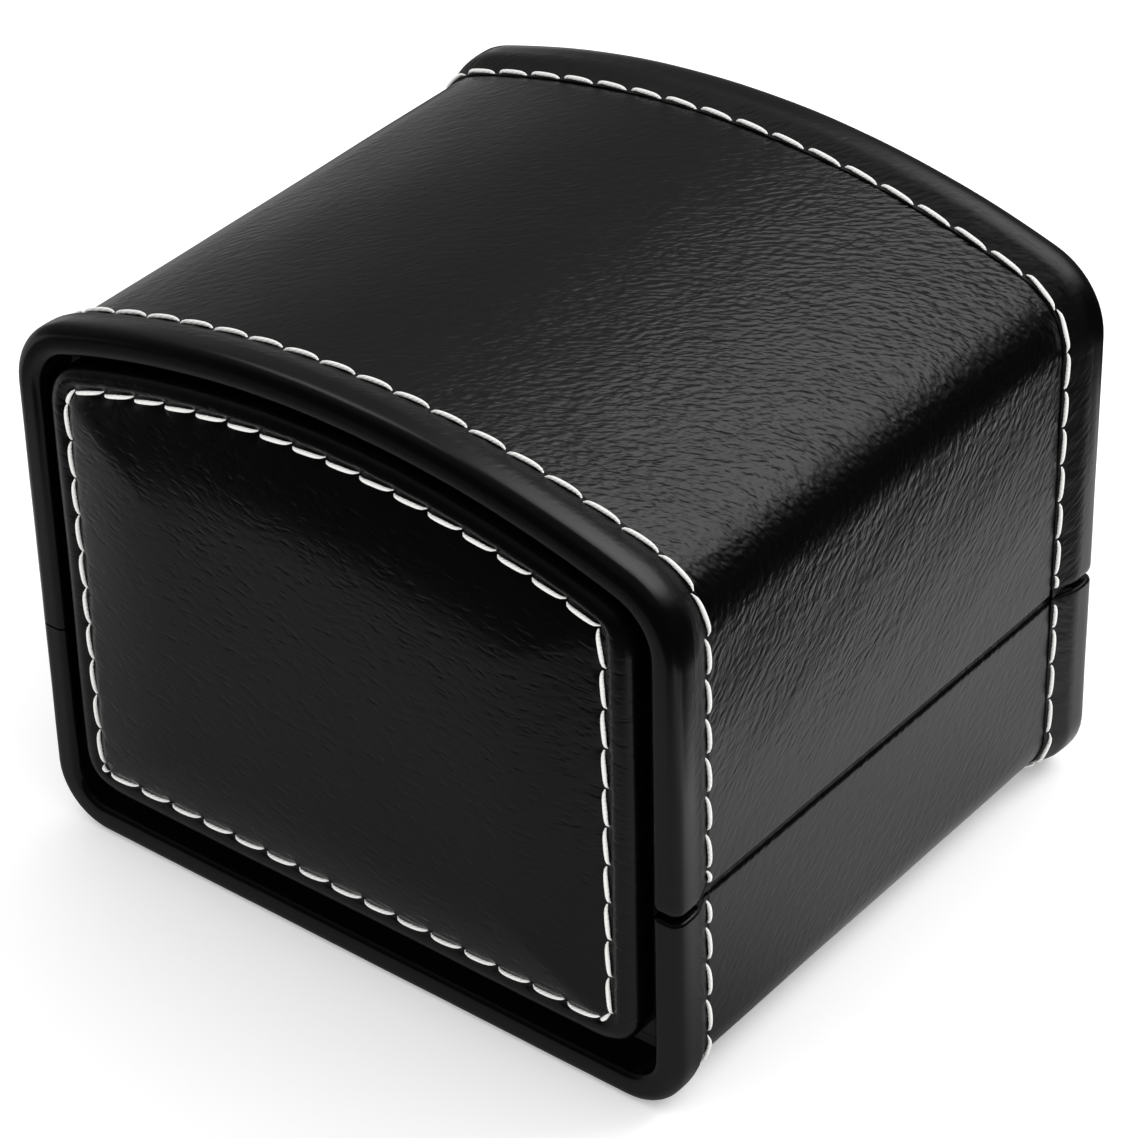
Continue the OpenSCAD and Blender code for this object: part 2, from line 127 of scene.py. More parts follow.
def cut_path(loop, low, high):
    """The run of the loop from the seam's front, over the top or under the bottom, to its back."""
    clear = 0.4
    middle = len(loop) // 2
    front, back = loop[: middle + 1], loop[middle:]
    if high > TOP:
        seam = low
        points = [tuple(p) for part in (front, back[1:]) for p in part if p[1] > low + clear]
    else:
        seam = high
        points = [tuple(p) for part in (front[::-1], back[::-1]) for p in part
                  if p[1] < high - clear]
    return np.array(distinct([(-HALF, seam, -1, 0)] + points + [(HALF, seam, 1, 0)]))


CASE = outline(HALF, PROUD, TOP, ARCH, SHOULDER, CORNER)
LID_PATH = cut_path(CASE, LID_LOW, 1e9)
BASE_PATH = cut_path(CASE, -1e9, BASE_HIGH)
print("outline points:", len(CASE), "lid run:", len(LID_PATH), "base run:", len(BASE_PATH))


# %% [markdown]
# ## A sweep with rolled ends
# Leather that is folded over an edge has no sharp corner. A curve with a bevel could draw a
# section along a run, but not round its end off. So `sweep` does it by hand: near an end it
# lets the section shrink along a quarter circle, which gives the finger-like ends of the rims
# and the soft turned-in edges of the leather. It also says where each point lies on the flat
# hide, so that the grain runs on round a bend.

# %% Sweep a section along a run
def measured(path):
    """Distance of each point from the start of the run."""
    d = np.hypot(np.diff(path[:, 0]), np.diff(path[:, 1]))
    return np.concatenate([[0], np.cumsum(d)])


def at_distance(path, s):
    """The point and outward direction at a distance along the run."""
    along = measured(path)
    p = np.array([np.interp(s, along, path[:, k]) for k in range(4)])
    p[2:] /= math.hypot(p[2], p[3])
    return p


def sweep(path, section, limits, round_start, round_end, side=1, wobble=0.0, seed=1, step=1.0,
          pucker=None):
    """Verts, faces and hide places of a section of (out, x) points drawn along a run.

    limits says how far each point may draw in at a rounded end. wobble is the hand's unevenness.
    pucker is the first stitch hole, the pitch and how deep the thread pulls each point.
    """
    section = np.array(section, float)
    m = len(section)
    prev, nxt = np.roll(section, 1, 0), np.roll(section, -1, 0)
    d = nxt - prev
    d /= np.maximum(np.hypot(d[:, 0], d[:, 1])[:, None], 1e-9)
    area = 0.5 * np.sum(prev[:, 0] * section[:, 1] - section[:, 0] * prev[:, 1])
    inward = np.stack([-d[:, 1], d[:, 0]], 1) * (1 if area > 0 else -1)
    total = measured(path)[-1]
    stops = [(s, 0.0) for s in np.linspace(0, total, round(total / step) + 1)]
    for r, start in ((round_start, True), (round_end, False)):
        if r <= 0:
            continue
        stops = [q for q in stops if (q[0] > r + 0.2 if start else q[0] < total - r - 0.2)]
        for a in np.linspace(0, 90, 8):
            s = r * (1 - math.cos(math.radians(a)))
            inset = r * (1 - math.sin(math.radians(a)))
            stops.append((s if start else total - s, inset))
    stops.sort()
    rng = np.random.default_rng(seed)
    phases = rng.uniform(0, 6.28, (3,))
    verts, faces, sheet = [], [], []
    for s, inset in stops:
        y, z, ny, nz = at_distance(path, s)
        q = section + inward * np.minimum(inset, limits)[:, None]
        u = q[:, 0] + wobble * (np.sin(s * 0.21 + phases[0] + q[:, 1] * 0.11)
                                + 0.6 * np.sin(s * 0.47 + phases[1] - q[:, 1] * 0.23)) * 0.5
        if pucker:
            first, pitch, weight = pucker
            pull = math.cos(2 * math.pi * (s - first) / pitch) ** 3
            u = u - weight * (pull + 0.5 * math.sin(s * 1.9 + phases[2]))
        for k in range(m):
            verts.append((side * q[k, 1] * MM, (y + ny * u[k] - SHIFT) * MM, (z + nz * u[k]) * MM))
            sheet.append((side * q[k, 1] * MM, s * MM, u[k] * MM))
    n = len(stops)
    for i in range(n - 1):
        for k in range(m):
            a, b = i * m + k, i * m + (k + 1) % m
            faces.append((a, b, b + m, a + m))
    faces.append(tuple(range(m)))
    faces.append(tuple(range((n - 1) * m, n * m))[::-1])
    return verts, faces, sheet


def lay_sheet(ob, sheet):
    """Stores where each point lies on the flat hide, so the grain runs unbroken round a bend."""
    a = ob.data.attributes.new("hide", "FLOAT_VECTOR", "POINT")
    a.data.foreach_set("vector", np.array(sheet, np.float32).ravel())


def mesh_object(name, verts, faces, smooth=True, crease=None):
    """A mesh object with outward faces; edges sharper than crease degrees stay crisp."""
    me = bpy.data.meshes.new(name)
    me.from_pydata(verts, [], faces)
    bm = bmesh.new()
    bm.from_mesh(me)
    bmesh.ops.recalc_face_normals(bm, faces=bm.faces)
    if crease:
        for e in bm.edges:
            if len(e.link_faces) == 2 and e.calc_face_angle(0) > math.radians(crease):
                e.smooth = False
    for f in bm.faces:
        f.smooth = smooth
    bm.to_mesh(me)
    bm.free()
    ob = bpy.data.objects.new(name, me)
    bpy.context.scene.collection.objects.link(ob)
    return ob


print("helpers: sweep, lay_sheet, mesh_object")

# %% [markdown]
# ## Shared effects as node groups
# Grain, scuffs and dust turn up on several finishes. They could be drawn as pictures, but nodes
# stay sharp at any distance, so each is a node group with named inputs. The groups only move
# numbers into the colour, roughness and bump sockets; what is constant on a finish is set on
# its own shader.

# %% Helpers for node trees
def new_group(name, ins, outs):
    """An empty group with inputs (name, kind, value) and outputs (name, kind)."""
    g = bpy.data.node_groups.new(name, "ShaderNodeTree")
    for n, kind, value in ins:
        s = g.interface.new_socket(n, in_out="INPUT", socket_type=kind)
        if value is not None:
            s.default_value = value
    for n, kind in outs:
        g.interface.new_socket(n, in_out="OUTPUT", socket_type=kind)
    return g, g.nodes.new("NodeGroupInput"), g.nodes.new("NodeGroupOutput")


def put(tree, kind, into=None, **settings):
    """Adds one node. into fills its inputs, each with a plain value or another node's output."""
    n = tree.nodes.new(kind)
    for k, v in settings.items():
        setattr(n, k, v)
    for k, v in (into or {}).items():
        if isinstance(v, bpy.types.NodeSocket):
            tree.links.new(v, n.inputs[k])
        elif v is not None:
            n.inputs[k].default_value = v
    return n


def maths(tree, op, a, b=None, c=None, clamp=False):
    """One sum, where each of a, b and c is a number or an output."""
    return put(tree, "ShaderNodeMath", {0: a, 1: b, 2: c}, operation=op,
               use_clamp=clamp).outputs[0]


def ramp(tree, value, a, b, c, d):
    """Goes smoothly from c to d while value goes from a to b."""
    return put(tree, "ShaderNodeMapRange",
               {"Value": value, "From Min": a, "From Max": b, "To Min": c, "To Max": d},
               interpolation_type="SMOOTHSTEP").outputs["Result"]


def noise(tree, vector, scale, detail=3.0, rough=0.5):
    """Soft noise between 0 and 1."""
    return put(tree, "ShaderNodeTexNoise", {"Vector": vector, "Scale": scale, "Detail": detail,
                                            "Roughness": rough}).outputs["Fac"]


def vectors(tree, op, a, into):
    """One sum with vectors."""
    return put(tree, "ShaderNodeVectorMath", {0: a, **into}, operation=op).outputs[0]


print("helpers: new_group, put, maths, ramp, noise, vectors")


# %% Leather grain group
def leather_grain():
    """Long soft ripples, and dark valleys between flat plateaus. Vector is in metres."""
    g, i, o = new_group(
        "leather_grain",
        [("Vector", "NodeSocketVector", None), ("Across", "NodeSocketVector", (900, 900, 900)),
         ("Ripple", "NodeSocketFloat", 1.0), ("Creases", "NodeSocketFloat", 0.2),
         ("Pores", "NodeSocketFloat", 0.1)],
        [("Height", "NodeSocketFloat")])
    place = i.outputs["Vector"]
    drift = put(g, "ShaderNodeTexNoise", {"Vector": place, "Scale": 110, "Detail": 0})
    lean = vectors(g, "SCALE", drift.outputs["Color"], {"Scale": 0.0024})
    drawn = vectors(g, "MULTIPLY", vectors(g, "ADD", place, {1: lean}), {1: i.outputs["Across"]})
    ripple = maths(g, "MULTIPLY", noise(g, drawn, 1.0, 1.0, 0.45), 2.6)
    low = maths(g, "SUBTRACT", 0.5, noise(g, drawn, 0.9, 1.0, 0.5))
    crease = maths(g, "POWER", maths(g, "MULTIPLY", low, 4.0, clamp=True), 1.3)
    pores = maths(g, "MULTIPLY", noise(g, place, 4200, 2.0), i.outputs["Pores"])
    height = maths(g, "SUBTRACT", maths(g, "MULTIPLY", ripple, i.outputs["Ripple"]),
                   maths(g, "MULTIPLY", crease, i.outputs["Creases"]))
    g.links.new(maths(g, "ADD", height, pores), o.inputs["Height"])
    return g


# %% Scuff and dust groups
def fine_scuffs():
    """Slow patches and thin hair scratches that vary how glossy a surface is."""
    g, i, o = new_group("fine_scuffs", [("Vector", "NodeSocketVector", None),
                                        ("Base", "NodeSocketFloat", 0.3),
                                        ("Amount", "NodeSocketFloat", 0.1)],
                        [("Roughness", "NodeSocketFloat")])
    patch = noise(g, i.outputs["Vector"], 45, 3.0)
    stretched = vectors(g, "MULTIPLY", i.outputs["Vector"], {1: (300, 2600, 300)})
    hair = noise(g, stretched, 1.0, 4.0, 0.7)
    both = maths(g, "ADD", maths(g, "MULTIPLY", patch, 0.6), maths(g, "MULTIPLY", hair, 0.4))
    g.links.new(maths(g, "MULTIPLY_ADD", maths(g, "SUBTRACT", both, 0.5), i.outputs["Amount"],
                      i.outputs["Base"]), o.inputs["Roughness"])
    return g


def light_dust():
    """A breath of lint that mixes a pale tone into a dark colour."""
    g, i, o = new_group("light_dust", [("Vector", "NodeSocketVector", None),
                                       ("Color", "NodeSocketColor", (0, 0, 0, 1)),
                                       ("Dust", "NodeSocketColor", (0.35, 0.34, 0.33, 1)),
                                       ("Amount", "NodeSocketFloat", 0.02)],
                        [("Color", "NodeSocketColor")])
    specks = maths(g, "POWER", noise(g, i.outputs["Vector"], 700, 4.0, 0.6), 3.0)
    mix = put(g, "ShaderNodeMix", {"Factor": maths(g, "MULTIPLY", specks, i.outputs["Amount"]),
                                   "A": i.outputs["Color"], "B": i.outputs["Dust"]},
              data_type="RGBA")
    g.links.new(mix.outputs["Result"], o.inputs["Color"])
    return g


GRAIN, SCUFFS, DUST = leather_grain(), fine_scuffs(), light_dust()
print("node groups:", [g.name for g in bpy.data.node_groups])


# %% [markdown]
# ## The finishes
# The photograph shows one hide in two states: grained on the wrap and the pads, and pulled
# nearly smooth over the rims. Both are the same near black, and only grain and roughness
# differ. The grain runs along the hide, so on a sheet it reads the `hide` attribute, and on
# the rims the `grain` attribute lets it fade from the flange to the roll.

# %% Build a finish
def finish(name, color, rough, metallic=0.0, amount=0.06, dust=0.0, bump=None, sheen=0.0,
           specular=0.5, blurred=0.0):
    """A material with scuffs and dust. blurred is the roughness that the grain mask adds."""
    m = bpy.data.materials.new(name)
    m.use_nodes = True
    t = m.node_tree
    p = t.nodes["Principled BSDF"]
    where = put(t, "ShaderNodeTexCoord").outputs["Object"]
    for k, v in (("Metallic", metallic), ("Sheen Weight", sheen), ("Sheen Roughness", 0.4),
                 ("Specular IOR Level", specular)):
        p.inputs[k].default_value = v
    gloss = put(t, "ShaderNodeGroup", {"Base": rough, "Amount": amount, "Vector": where},
                node_tree=SCUFFS).outputs["Roughness"]
    if blurred:
        matt = put(t, "ShaderNodeAttribute", attribute_name="grain").outputs["Fac"]
        gloss = maths(t, "MULTIPLY_ADD", matt, blurred, gloss)
    t.links.new(gloss, p.inputs["Roughness"])
    d = put(t, "ShaderNodeGroup", {"Color": (*color, 1), "Amount": dust, "Vector": where},
            node_tree=DUST)
    t.links.new(d.outputs["Color"], p.inputs["Base Color"])
    if bump:
        height, strength, distance = bump(t, where)
        b = put(t, "ShaderNodeBump", {"Strength": strength, "Distance": distance,
                                      "Height": height})
        t.links.new(b.outputs["Normal"], p.inputs["Normal"])
    return m


def grained(across, distance, ripple=1.0, creases=0.2, pores=0.02, turn=0.0, masked=False):
    """Grain of the hide. On a wrapped sheet it swings round at the shoulder, as it was pulled.

    across is the number of ripples to a metre in each direction, and turn swings them on a pad.
    masked lets the grain fade where the rim's mask is 0.
    """
    shoulder, soft, pull, smoothest = 0.042, 0.00016, 0.9, 0.06

    def build(t, where):
        amount = None
        if turn:
            place = put(t, "ShaderNodeVectorRotate", {"Angle": math.radians(turn), "Vector": where},
                        rotation_type="X_AXIS").outputs["Vector"]
        else:
            hide = put(t, "ShaderNodeAttribute", attribute_name="hide").outputs["Vector"]
            x, y, z = put(t, "ShaderNodeSeparateXYZ", {0: hide}).outputs
            off = maths(t, "SUBTRACT", y, shoulder)
            swing = maths(t, "SQRT", maths(t, "MULTIPLY_ADD", off, off, soft))
            bent = maths(t, "MULTIPLY_ADD", swing, pull, x)
            place = put(t, "ShaderNodeCombineXYZ", {0: bent, 1: y, 2: z}).outputs[0]
            amount = maths(t, "MULTIPLY", ramp(t, y, 0.02, 0.056, 0.42, 1.15),
                           ramp(t, y, 0.066, 0.115, 1.0, 0.2))
        if masked:
            mask = put(t, "ShaderNodeAttribute", attribute_name="grain").outputs["Fac"]
            amount = maths(t, "MULTIPLY_ADD", mask, 1 - smoothest, smoothest)
        height = put(t, "ShaderNodeGroup", {"Across": across, "Ripple": ripple, "Creases": creases,
                                            "Pores": pores, "Vector": place},
                     node_tree=GRAIN).outputs["Height"]
        if amount:
            height = maths(t, "MULTIPLY", height, amount)
        return height, 1.0, distance
    return build


def fuzz(scale, strength, distance):
    """Fine nap of a cloth, or the tooth of board and metal."""
    def build(t, where):
        return noise(t, where, scale, 4.0, 0.7), strength, distance
    return build


def twist(scale, strength, distance):
    """The strands of a thread."""
    def build(t, where):
        wave = put(t, "ShaderNodeTexWave", {"Scale": scale, "Distortion": 1.5, "Vector": where},
                   wave_type="BANDS", bands_direction="DIAGONAL")
        return wave.outputs["Fac"], strength, distance
    return build


print("helpers: finish, grained, fuzz, twist")


# %% The finishes of this box
BLACK, VELVET = (0.001, 0.001, 0.0011), (0.012, 0.012, 0.013)
HIDE = finish("grained_leather", BLACK, 0.28, amount=0.08, dust=0.003,
              bump=grained((1080, 780, 600), 0.00007, creases=0.25))
HIDE_END = finish("grained_leather_ends", BLACK, 0.28, amount=0.08, dust=0.003,
                  bump=grained((60, 500, 1300), 0.00005, ripple=0.3, creases=0.8, turn=-5))
RIM_HIDE = finish("rim_leather", BLACK, 0.24, amount=0.08, dust=0.002,
                  bump=grained((1100, 760, 600), 0.00006, creases=0.2, masked=True), blurred=0.3)
THREAD_WHITE = finish("sewing_thread", (0.82, 0.82, 0.80), 0.6, amount=0.1,
                      bump=twist(900, 0.5, 0.0001), sheen=0.2)
LINING = finish("lining_velvet", VELVET, 0.95, amount=0.05, dust=0.08,
                bump=fuzz(3500, 0.5, 0.0002), sheen=0.6, specular=0.1)
CUSHION = finish("cushion_velvet", VELVET, 0.9, amount=0.05, dust=0.08,
                 bump=fuzz(2200, 0.7, 0.0003), sheen=0.6, specular=0.1)
BOARD = finish("core_board", (0.02, 0.02, 0.021), 0.8, amount=0.1, bump=fuzz(900, 0.4, 0.0001))
BRASS = finish("hinge_brass", (0.80, 0.62, 0.30), 0.25, metallic=1.0, amount=0.18,
               bump=fuzz(1500, 0.05, 0.0001))
STEEL = finish("plain_steel", (0.55, 0.55, 0.56), 0.3, metallic=1.0, amount=0.2,
               bump=fuzz(1500, 0.05, 0.0001))
print("finishes:", len(bpy.data.materials))


# %% [markdown]
# ## The wrapped leather
# One sheet of leather is wrapped over the lid and one over the base. Cloth simulation could lay
# them on, but glued leather follows its board exactly, so a sweep along the outline is enough.
# At the seam the sheet turns in over the board, so the edge is soft and the board never shows.

# %% Leather of the lid and the base
def wrap_section():
    """The sheet from end to end: its outer side, then its inner one."""
    xs = np.linspace(-BOARD_END, BOARD_END, 41)
    return [(0.0, x) for x in xs] + [(-LEATHER, x) for x in xs[::-1]]


def turned_in(z):
    """The flat strip of leather that covers the board's edge, seen with the lid open."""
    up = 1 if z < SEAM else -1
    front, rear, in_x, in_y = -HALF + 0.72, HALF - 0.3, 35.9, 46.1
    outer = [(-BOARD_END, front), (BOARD_END, front), (BOARD_END, rear), (-BOARD_END, rear)]
    inner = [(-in_x, -in_y), (in_x, -in_y), (in_x, in_y), (-in_x, in_y)]
    zs = (z + 0.06 * up, z - 0.2 * up)
    v = [(x * MM, (y - SHIFT) * MM, h * MM) for h in zs for ring in (outer, inner) for x, y in ring]
    f = []
    for k in range(4):
        j = (k + 1) % 4
        f += [(k, j, 4 + j, 4 + k), (8 + k, 12 + k, 12 + j, 8 + j), (k, 8 + k, 8 + j, j),
              (4 + k, 4 + j, 12 + j, 12 + k)]
    return v, f


def joined(*parts):
    """Verts and faces of several parts as one."""
    verts, faces = [], []
    for v, f in parts:
        n = len(verts)
        verts += list(v)
        faces += [tuple(i + n for i in q) for q in f]
    return verts, faces


for name, path, body, z in (("lid_cover_leather", LID_PATH, "lid", LID_LOW),
                            ("base_cover_leather", BASE_PATH, "base", BASE_HIGH)):
    sec = wrap_section()
    # at its ends the outer side draws in to a soft edge, and the inner side hardly moves
    limits = np.array([0.7 if u == 0 else 0.05 for u, x in sec])
    soft = 0.6 if body == "lid" else 1.1
    verts, faces, sheet = sweep(path, sec, limits, soft, 0.15, wobble=0.05, seed=3)
    if body == "base":
        sheet = [(x, -s, u) for x, s, u in sheet]
    edge = turned_in(z)
    ob = mesh_object(name, *joined((verts, faces), edge), crease=50)
    lay_sheet(ob, sheet + edge[0])
    ob.data.materials.append(HIDE)
    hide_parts(body + "_cover")
    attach(ob, body)
    print(name, len(ob.data.polygons), "faces")

# %% [markdown]
# ## The rolled rims
# Each rim is leather rolled over a core. Its section starts at the sewn flange on the wrap,
# dips where the thread pulls it down, rises to the crest, and rolls over the end of the box
# into the groove round the panel. A plain bevelled curve would be a tube without a flange, so
# the section is drawn point by point. At the front of the seam each rim ends like a finger tip.

# %% Section of a rim
def rim_section():
    """(out, x) from the flange's edge over the crest and the roll to the inside and back."""
    roll, mid_u, mid_x, inner = 1.7, -0.1, 43.9, 1.1
    pts = [(0.02, 37.42), (0.14, 37.38), (0.24, 37.46), (0.27, 37.62), (0.22, 37.82), (0.17, 38.0),
           (0.21, 38.2), (0.31, 38.45), (0.52, 38.9), (0.74, 39.4), (0.96, 39.9), (1.18, 40.4),
           (1.34, 40.85), (1.46, 41.3), (1.53, 41.75), (1.575, 42.3), (1.595, 42.9), (PROUD, 43.4)]
    for a in np.radians(np.linspace(80, 0, 9)):
        pts.append((mid_u + roll * math.sin(a), mid_x + roll * math.cos(a)))
    pts.append((-1.0, FACE))
    for a in np.radians(np.linspace(0, 90, 7)):
        pts.append((-INSIDE + inner - inner * math.sin(a), FACE - inner + inner * math.cos(a)))
    pts += [(-INSIDE, x) for x in (43.0, 41.2, 39.45)]
    return pts + [(-1.3, 39.45), (0.0, 39.45), (0.0, 38.4)]


def draws_in(u, x):
    """How far a point may draw in where the rim ends: a little on the flange, most at the crest."""
    if x < 38.6:
        return 0.2
    return np.interp(x, (38.6, 42.0), (0.25, 1.9)) if u > 0 else 1.9


def pulled(u, x):
    """How deep the thread pulls a point of the flange down."""
    if 37.4 < x < 39.5 and u > 0.16:
        return 0.05
    return 0.03 if x < 40.5 and u > 0.2 else 0.0


RIM = rim_section()
RIM_LIMITS = np.array([draws_in(u, x) for u, x in RIM])
RIM_PULL = np.array([pulled(u, x) for u, x in RIM])


def even_pitch(path, first):
    """The pitch nearest to the usual one that fills the run behind its first stitch."""
    run = measured(path)[-1] - first - LAST_HOLE
    return run / round(run / PITCH)


for end, side in (("left", -1), ("right", 1)):
    for body, path, tip, first in (("lid", LID_PATH, 1.9, FIRST_LID),
                                   ("base", BASE_PATH, 0.5, FIRST_BASE)):
        pucker = (first, even_pitch(path, first), RIM_PULL)
        v, f, sheet = sweep(path, RIM, RIM_LIMITS, tip, 0.0, side=side, wobble=0.03,
                            seed=5 + side, step=0.6, pucker=pucker)
        ob = mesh_object(f"{body}_rim_{end}_leather", v, f, crease=60)
        lay_sheet(ob, sheet)
        grain = ob.data.attributes.new("grain", "FLOAT", "POINT")
        across = np.abs(np.array(v)[:, 0]) / MM
        grain.data.foreach_set("value", np.clip((42.4 - across) / 1.6, 0.0, 1.0).astype(np.float32))
        ob.data.materials.append(RIM_HIDE)
        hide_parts(f"{body}_rim_{end}")
        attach(ob, body)
print("rims:", len(RIM), "points in the section")


# %% [markdown]
# ## The padded end panels
# A thin foam under leather, sewn down round its edge. The sewn line is the same loop that the
# stitches follow. Outside it the leather rolls over to the edge. Inside it the pad swells
# within about 18 mm and stays level from there, and every hole of the thread pulls a dimple.
# Rings from the edge to the middle with a height for each give all this without sculpting.

# %% The loops of the pad
EDGE = outline(46.2, 8.2, 81.6, 139.65, 7.0, 5.5)
SEWN = (42.7, 11.7, 78.9, 136.95, 2.4, 1.8)


def resampled(loop, n):
    """n points of a closed loop, evenly spaced, starting at the middle of the bottom."""
    closed = np.vstack([loop, loop[:1]])
    along = measured(closed)
    s = np.linspace(0, along[-1], n, endpoint=False)
    return np.stack([np.interp(s, along, closed[:, k]) for k in range(4)], 1)


def by_angle(loop, angles, centre):
    """Points of a loop in the given directions from a centre, so that two loops line up."""
    closed = np.vstack([loop, loop[:1]])
    a = np.unwrap(np.arctan2(closed[:, 1] - centre[1], closed[:, 0] - centre[0]))
    if a[-1] < a[0]:
        a, closed = a[::-1], closed[::-1]
    t = a[0] + np.mod(angles - a[0], 2 * math.pi)
    return np.stack([np.interp(t, a, closed[:, k]) for k in range(2)], 1)


print("pad edge points:", len(EDGE))


# %% Where the stitches of the panel go
def sewn_stitches():
    """Places of the stitches round a panel: (y, z, ty, tz, length, hole y, hole z).

    Between two marks near the corners the stitches are even; counts has their numbers.
    """
    half, bottom, top, arch, upper, lower = 42.35, 12.05, 78.6, 136.6, 2.0, 1.4
    loop = outline(half, bottom, top, arch, upper, lower, step=0.5)
    closed = np.vstack([loop, loop[:1]])
    along = measured(closed)
    total = along[-1]

    def s_of(y, z):
        return along[np.argmin(np.hypot(closed[:, 0] - y, closed[:, 1] - z))]

    cz = top - arch + math.sqrt((arch - upper) ** 2 - (half - upper) ** 2)
    marks = [s_of(-half + 1.5, bottom), s_of(-half, bottom + 1.5), s_of(-half + 0.6, cz + 1.4),
             s_of(half - 1.6, cz + 2.0), s_of(half, cz - 0.3), s_of(half, bottom + 1.0),
             s_of(half - 1.0, bottom)]
    counts = [1, 10, 16, 1, 10, 1, 15]
    rows = []
    for a, b, count in zip(marks, marks[1:] + marks[:1], counts):
        if b < a:
            b += total
        for j in range(count):
            s0, s1 = a + (b - a) * j / count, a + (b - a) * (j + 1) / count
            p = [np.interp(np.mod(s, total), along, closed[:, c]) for s in (s0, s1) for c in (0, 1)]
            ty, tz = p[2] - p[0], p[3] - p[1]
            n = math.hypot(ty, tz)
            ty, tz = ty / n, tz / n
            rows.append(((p[0] + p[2]) / 2, (p[1] + p[3]) / 2, ty + SLANT * tz, tz - SLANT * ty, n,
                         p[0], p[1]))
    return rows


PANEL_STITCHES = sewn_stitches()
print("stitches round one panel:", len(PANEL_STITCHES))


# %% Build one pad
def pad_mesh(side):
    """Verts and faces of one pad, as rings of n points from the edge to the middle."""
    centre, n, swell = (0.0, 43.0), 420, 18.0
    base = resampled(outline(*SEWN), n)
    angles = np.arctan2(base[:, 1] - centre[1], base[:, 0] - centre[0])
    edge = by_angle(EDGE, angles, centre)
    sewn = base[:, :2]
    holes = np.array([(r[5], r[6]) for r in PANEL_STITCHES])
    rings = [(edge, 0.0), (edge, 1.4)]
    for w in np.linspace(1.0, 0.0, 15):
        q = sewn + (edge - sewn) * w
        if w > 0.985:
            rings.append((q, PAD_EDGE))
            continue
        roll = math.sqrt(max(0.0, 1 - w ** 3.2))
        rings.append((q, PAD_EDGE + 2.07 * roll - 0.30 * math.exp(-((w * 3.5) / 0.8) ** 2)))
    for k in np.concatenate([np.linspace(0.99, 0.86, 14), np.linspace(0.84, 0.04, 30)]):
        q = np.array(centre) + (sewn - np.array(centre)) * k
        deep = (1 - k) * 38
        near = min(deep, swell)
        puff = near / 2 + swell / (2 * math.pi) * math.sin(math.pi * near / swell)
        crown = PUFF * puff / (swell / 2) + 0.12 * (1 - k ** 2)
        rings.append((q, PAD_RISE + crown - 0.18 * math.exp(-(deep / 0.8) ** 2)))
    verts = []
    for q, h in rings:
        out = np.full(n, h)
        if h > 3:
            d = np.min(np.hypot(*(q[:, None, k] - holes[None, :, k] for k in range(2))), 1)
            out -= 0.22 * np.exp(-(d / 0.8) ** 2) + 0.06 * np.exp(-(d / 2.2) ** 2)
            out += 0.07 * np.sin(q[:, 0] * 0.13 + side) * np.sin(q[:, 1] * 0.16 + 1)
        for (y, z), x in zip(q, out):
            verts.append((side * (PAD_BACK + x) * MM, (y - SHIFT) * MM, z * MM))
    faces = []
    for i in range(len(rings) - 1):
        for k in range(n):
            a, b = i * n + k, i * n + (k + 1) % n
            faces.append((a, b, b + n, a + n))
    verts.append((side * (PAD_BACK + PAD_RISE + PUFF + 0.12) * MM, -SHIFT * MM, centre[1] * MM))
    last = (len(rings) - 1) * n
    faces += [(last + k, last + (k + 1) % n, len(verts) - 1) for k in range(n)]
    faces.append(tuple(range(n))[::-1])
    return verts, faces


for end, side in (("left", -1), ("right", 1)):
    ob = mesh_object(f"end_pad_{end}_leather", *pad_mesh(side), crease=70)
    ob.data.materials.append(HIDE_END)
    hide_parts(f"end_pad_{end}")
    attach(ob, "lid")
    print(ob.name, len(ob.data.polygons), "faces")


# %% [markdown]
# ## Stitches with Geometry Nodes
# A row of stitches is one shape repeated along a seam, which is what Geometry Nodes are for.
# Each stitch place is a point that carries its direction, its outward side and its length.
# The tree bends a short thread at every point, and the result is baked into a plain mesh.

# %% The stitch tree
def bent_thread(t, rise, bow, radius):
    """A thread along X that bows in Y, rises in Z and thins at both ends."""
    line = put(t, "GeometryNodeCurvePrimitiveLine", {"Start": (-0.5, 0, 0), "End": (0.5, 0, 0)})
    cut = put(t, "GeometryNodeResampleCurve", {"Curve": line.outputs[0], "Count": 11})
    place = put(t, "GeometryNodeSplineParameter").outputs["Factor"]
    run = maths(t, "SUBTRACT", maths(t, "MULTIPLY", place, 2.0), 1.0)
    square = maths(t, "MULTIPLY", run, run)
    sixth = maths(t, "POWER", square, 3.0)
    sag = maths(t, "ADD", maths(t, "MULTIPLY", sixth, 1.9), maths(t, "MULTIPLY", square, 0.5))
    offset = put(t, "ShaderNodeCombineXYZ",
                 {"Y": maths(t, "MULTIPLY", maths(t, "SUBTRACT", 1.0, square), bow),
                  "Z": maths(t, "MULTIPLY", maths(t, "SUBTRACT", 1.0, sag), rise)})
    bend = put(t, "GeometryNodeSetPosition", {"Geometry": cut.outputs[0],
                                              "Offset": offset.outputs[0]})
    thin = maths(t, "POWER", maths(t, "SUBTRACT", 1.02, square), 0.35)
    fat = put(t, "GeometryNodeSetCurveRadius", {"Curve": bend.outputs[0],
                                                "Radius": maths(t, "MULTIPLY", radius, thin)})
    return fat.outputs[0]


def round_body(t, curve):
    """The curve as a tube with the curve's own radius."""
    ring = put(t, "GeometryNodeCurvePrimitiveCircle", {"Resolution": 8, "Radius": 1.0})
    body = put(t, "GeometryNodeCurveToMesh", {"Curve": curve, "Profile Curve": ring.outputs[0],
                                              "Fill Caps": True})
    if "Scale" in body.inputs:
        t.links.new(put(t, "GeometryNodeInputRadius").outputs[0], body.inputs["Scale"])
    return body.outputs[0]


